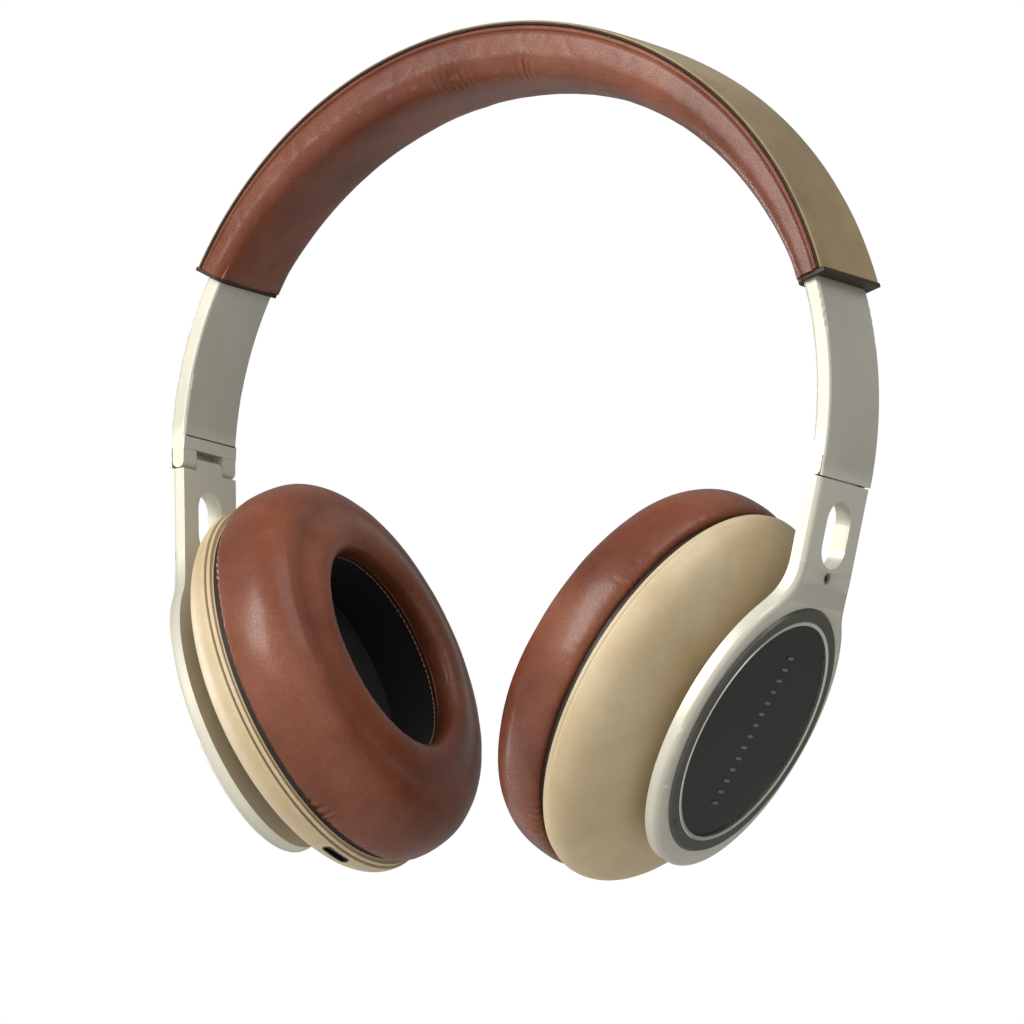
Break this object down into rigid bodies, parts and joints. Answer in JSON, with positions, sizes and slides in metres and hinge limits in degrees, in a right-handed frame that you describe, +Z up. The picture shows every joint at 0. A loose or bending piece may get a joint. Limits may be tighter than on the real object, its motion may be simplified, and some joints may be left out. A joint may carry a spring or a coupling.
{
  "type": "over ear headphones",
  "caption": "Folding over-ear headphones with a padded leather band, sliding arms, yokes with oval badges and deep oval ear cushions.",
  "frame": {"origin": "underside of the band's pad at the crown, on the mid-plane, where a peg or a head carries the headphones", "axes": "+Z up through the crown, +X towards the right ear cup, +Y towards the wearer's back"},
  "size_m": [0.1744, 0.0763, 0.1893],
  "materials": {
    "tan_leather": "smooth grained leather, satin",
    "brown_leather": "soft padded leather, satin",
    "dark_trim": "dark brown edge trim, satin",
    "arm_metal": "satin champagne paint on metal",
    "bezel_metal": "dark brushed metal",
    "bright_rim": "fine polished edge",
    "badge_gloss": "near-black gloss",
    "inner_plastic": "moulded black plastic",
    "pivot_plastic": "glass-filled nylon",
    "screw_steel": "blackened steel",
    "spring_steel": "rolled spring steel",
    "cable_jacket": "thin flexible jacket",
    "speaker_fabric": "open black knit",
    "magnet_metal": "nickel plated",
    "diaphragm_film": "thin moulded film",
    "socket_metal": "plated socket",
    "battery_foil": "foil pouch",
    "board_green": "solder mask over glass laminate"
  },
  "bodies": {
    "headband": {"headband_cover": "tan_leather", "headband_piping": "dark_trim", "headband_pad": "brown_leather", "band_spring_strip": "spring_steel", "crossover_cable": "cable_jacket", "sleeve_rivets": "screw_steel", "guide_sleeve_right": "inner_plastic", "guide_sleeve_left": "inner_plastic", "end_collar_right": "dark_trim", "end_collar_left": "dark_trim"},
    "arm_right": {"slider_arm_right": "arm_metal", "detent_spring_right": "spring_steel", "hinge_bracket_right": "arm_metal", "fold_pin_right": "screw_steel"},
    "yoke_right": {"yoke_right": "arm_metal", "badge_bezel_right": "bezel_metal", "badge_rim_right": "bright_rim", "badge_plate_right": "badge_gloss", "pivot_post_right": "pivot_plastic", "yoke_screws_right": "screw_steel"},
    "gimbal_right": {"gimbal_cross_right": "pivot_plastic"},
    "cup_right": {"cup_shell_right": "tan_leather", "trim_ring_right": "tan_leather", "baffle_right": "inner_plastic", "cup_screws_right": "screw_steel", "cushion_ring_right": "inner_plastic", "speaker_cloth_right": "speaker_fabric", "ear_cushion_right": "brown_leather", "driver_frame_right": "inner_plastic", "driver_magnet_right": "magnet_metal", "driver_diaphragm_right": "diaphragm_film", "pivot_bracket_right": "spring_steel", "control_board": "board_green"},
    "arm_left": {"slider_arm_left": "arm_metal", "detent_spring_left": "spring_steel", "hinge_bracket_left": "arm_metal", "fold_pin_left": "screw_steel"},
    "yoke_left": {"yoke_left": "arm_metal", "badge_bezel_left": "bezel_metal", "badge_rim_left": "bright_rim", "badge_plate_left": "badge_gloss", "pivot_post_left": "pivot_plastic", "yoke_screws_left": "screw_steel"},
    "gimbal_left": {"gimbal_cross_left": "pivot_plastic"},
    "cup_left": {"cup_shell_left": "tan_leather", "trim_ring_left": "tan_leather", "baffle_left": "inner_plastic", "cup_screws_left": "screw_steel", "cushion_ring_left": "inner_plastic", "speaker_cloth_left": "speaker_fabric", "ear_cushion_left": "brown_leather", "driver_frame_left": "inner_plastic", "driver_magnet_left": "magnet_metal", "driver_diaphragm_left": "diaphragm_film", "pivot_bracket_left": "spring_steel", "audio_socket": "socket_metal", "usb_socket": "socket_metal", "battery_pack": "battery_foil"},
    "power_button": {"power_button": "arm_metal"},
    "volume_rocker": {"volume_rocker": "arm_metal"}
  },
  "joints": [
    {"name": "slide_right", "type": "hinge", "parent": "headband", "child": "arm_right", "pos_m": [0, 0, -0.076], "axis": [0, 1, 0], "range_deg": [-18, 0]},
    {"name": "fold_right", "type": "hinge", "parent": "arm_right", "child": "yoke_right", "pos_m": [0.08439, 0, -0.08532], "axis": [0, 1, 0], "range_deg": [0, 75]},
    {"name": "swivel_right", "type": "hinge", "parent": "yoke_right", "child": "gimbal_right", "pos_m": [0.0565, 0, -0.13889], "axis": [0.454, 0, 0.891], "range_deg": [-8, 8]},
    {"name": "tilt_right", "type": "hinge", "parent": "gimbal_right", "child": "cup_right", "pos_m": [0.0565, 0, -0.13889], "axis": [0, 1, 0], "range_deg": [-8, 8]},
    {"name": "slide_left", "type": "hinge", "parent": "headband", "child": "arm_left", "pos_m": [0, 0, -0.076], "axis": [0, 1, 0], "range_deg": [0, 18]},
    {"name": "fold_left", "type": "hinge", "parent": "arm_left", "child": "yoke_left", "pos_m": [-0.08439, 0, -0.08532], "axis": [0, 1, 0], "range_deg": [-75, 0]},
    {"name": "swivel_left", "type": "hinge", "parent": "yoke_left", "child": "gimbal_left", "pos_m": [-0.0565, 0, -0.13889], "axis": [-0.454, 0, 0.891], "range_deg": [-8, 8]},
    {"name": "tilt_left", "type": "hinge", "parent": "gimbal_left", "child": "cup_left", "pos_m": [-0.0565, 0, -0.13889], "axis": [0, 1, 0], "range_deg": [-8, 8]},
    {"name": "power_press", "type": "slide", "parent": "cup_right", "child": "power_button", "axis": [0, -1, 0], "range_m": [0, 0.0006], "stiffness_N_per_m": 900},
    {"name": "volume_rock", "type": "hinge", "parent": "cup_right", "child": "volume_rocker", "pos_m": [0.04835, 0.03207, -0.14035], "axis": [0.891, 0, -0.454], "range_deg": [-1.5, 1.5], "stiffness_Nm_per_rad": 0.4}
  ]
}
